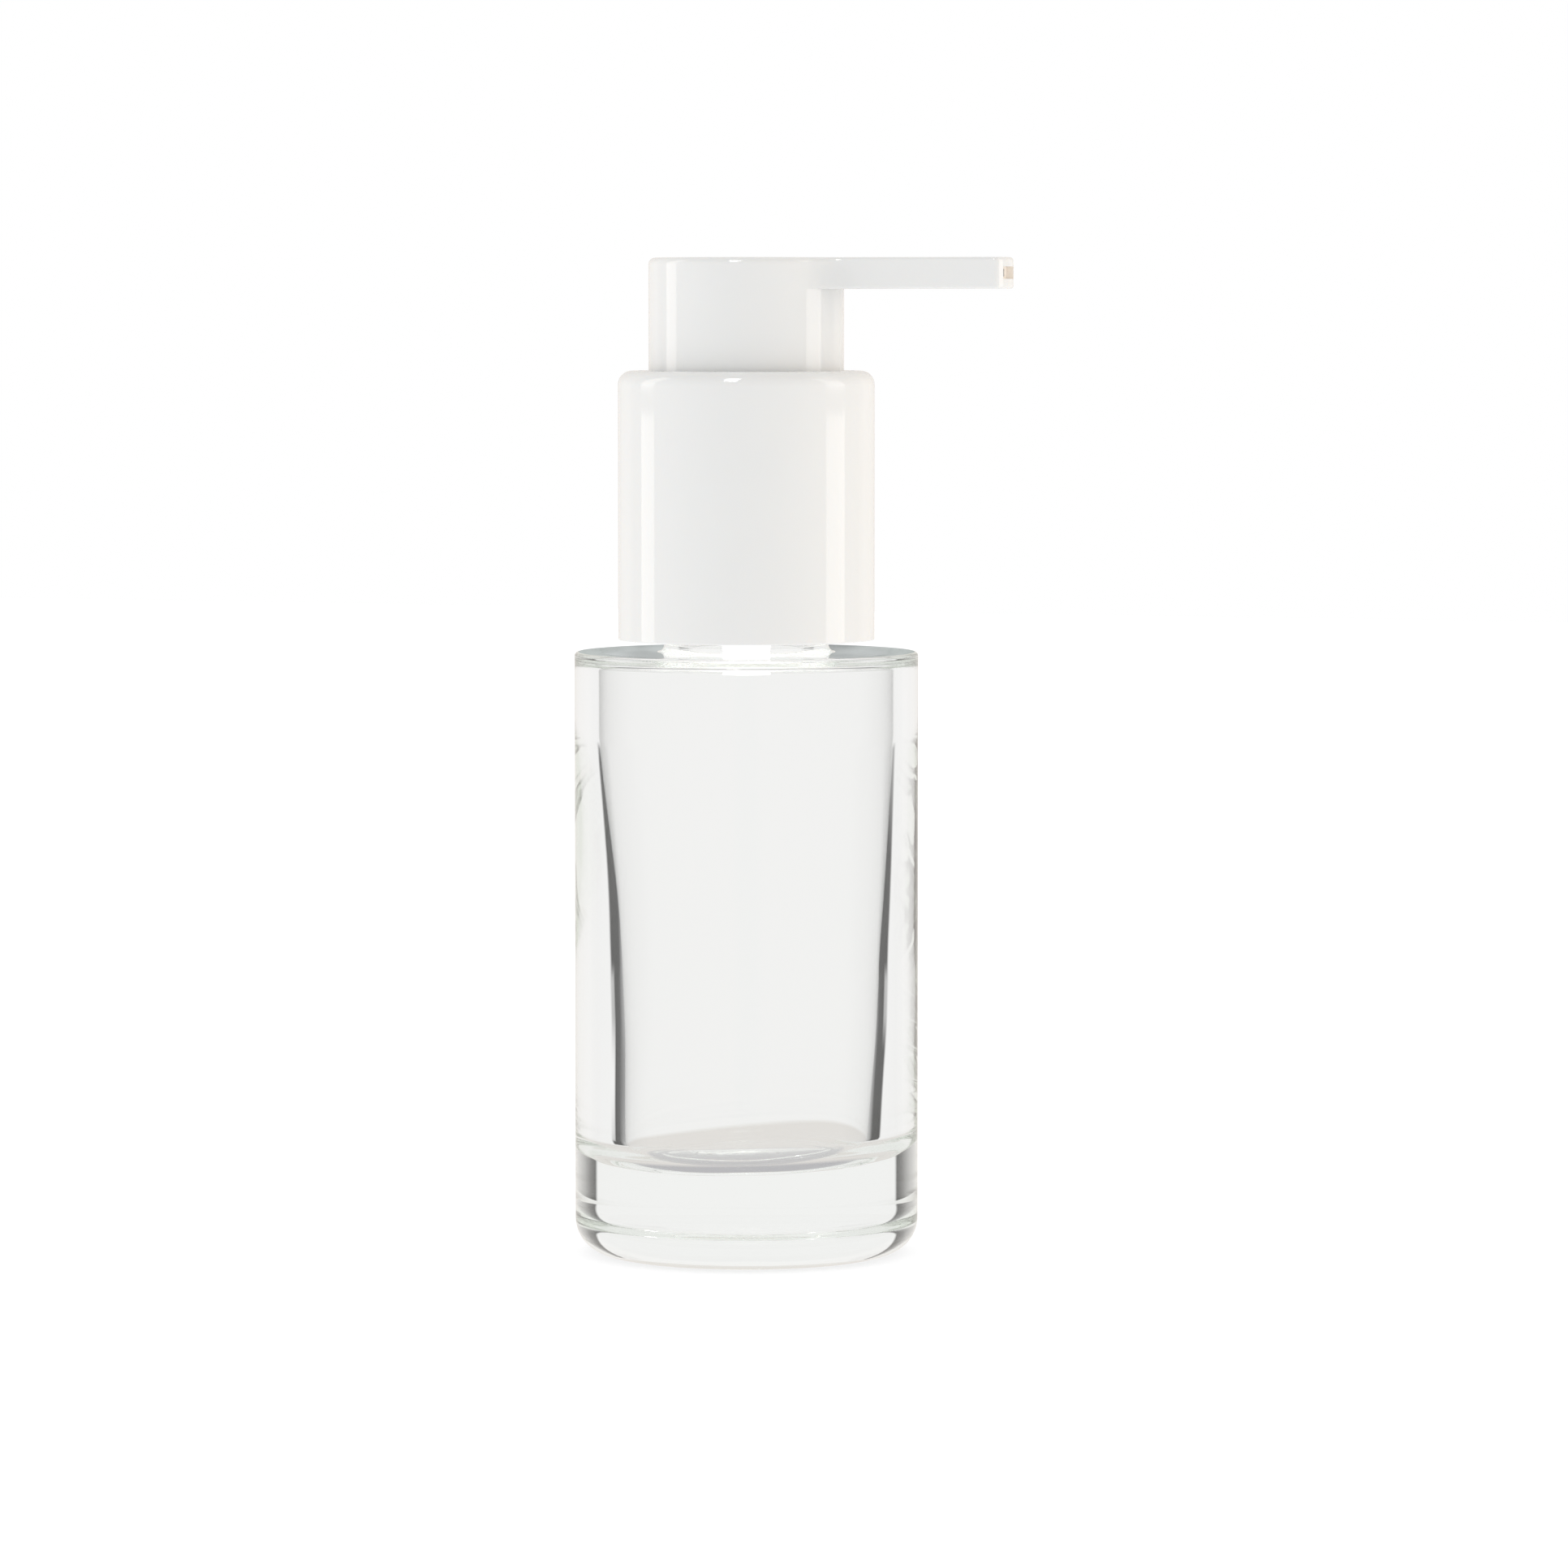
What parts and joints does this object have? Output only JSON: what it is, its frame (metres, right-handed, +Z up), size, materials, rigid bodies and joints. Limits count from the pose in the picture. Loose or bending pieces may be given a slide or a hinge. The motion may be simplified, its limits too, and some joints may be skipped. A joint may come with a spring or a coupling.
{
  "type": "foundation bottle",
  "caption": "Clear thick-based glass cylinder bottle with a white treatment pump: tall smooth collar, round button and a long flat spout.",
  "frame": {"origin": "centre of the bottle's flat base, on the surface it stands on", "axes": "+Z up along the bottle's axis, +X along the spout as it points at rest"},
  "size_m": [0.0484, 0.037, 0.1073],
  "materials": {
    "clear_glass": "clear flint glass, polished, faint green in its thick edges",
    "white_plastic": "smooth semi-gloss injection-moulded polypropylene, warm white",
    "natural_plastic": "natural translucent polypropylene",
    "clear_tube_plastic": "clear extruded tube",
    "gasket_foam": "soft off-white polyethylene foam",
    "spring_steel": "bright drawn stainless wire and a polished stainless ball"
  },
  "bodies": {
    "bottle": {"glass_bottle": "clear_glass"},
    "pump_unit": {"pump_housing": "natural_plastic", "neck_gasket": "gasket_foam", "turret": "white_plastic", "ball_retainer": "natural_plastic", "dip_tube": "clear_tube_plastic"},
    "closure": {"screw_closure": "white_plastic", "collar_shell": "white_plastic"},
    "swivel": {"return_spring": "spring_steel"},
    "head": {"actuator_head": "white_plastic", "stem": "natural_plastic", "piston_rod": "natural_plastic"},
    "piston": {"piston": "natural_plastic"},
    "ball": {"inlet_ball": "spring_steel"}
  },
  "joints": [
    {"name": "pump_lift", "type": "slide", "parent": "bottle", "child": "pump_unit", "axis": [0, 0, 1], "range_m": [0, 0.00476]},
    {"name": "closure_turn", "type": "hinge", "parent": "pump_unit", "child": "closure", "pos_m": [0, 0, 0], "axis": [0, 0, 1], "range_deg": [0, 540]},
    {"name": "head_swivel", "type": "hinge", "parent": "pump_unit", "child": "swivel", "pos_m": [0, 0, 0], "axis": [0, 0, 1], "continuous": true},
    {"name": "head_press", "type": "slide", "parent": "swivel", "child": "head", "axis": [0, 0, -1], "range_m": [0, 0.005], "stiffness_N_per_m": 1500, "deforming": ["return_spring"]},
    {"name": "piston_slip", "type": "slide", "parent": "head", "child": "piston", "axis": [0, 0, 1], "range_m": [0, 0.0008]},
    {"name": "ball_lift", "type": "slide", "parent": "pump_unit", "child": "ball", "axis": [0, 0, 1], "range_m": [0, 0.0009]}
  ],
  "couplings": [
    {"joint": "pump_lift", "follows": "closure_turn", "m_per_rad": 0.00050532}
  ]
}
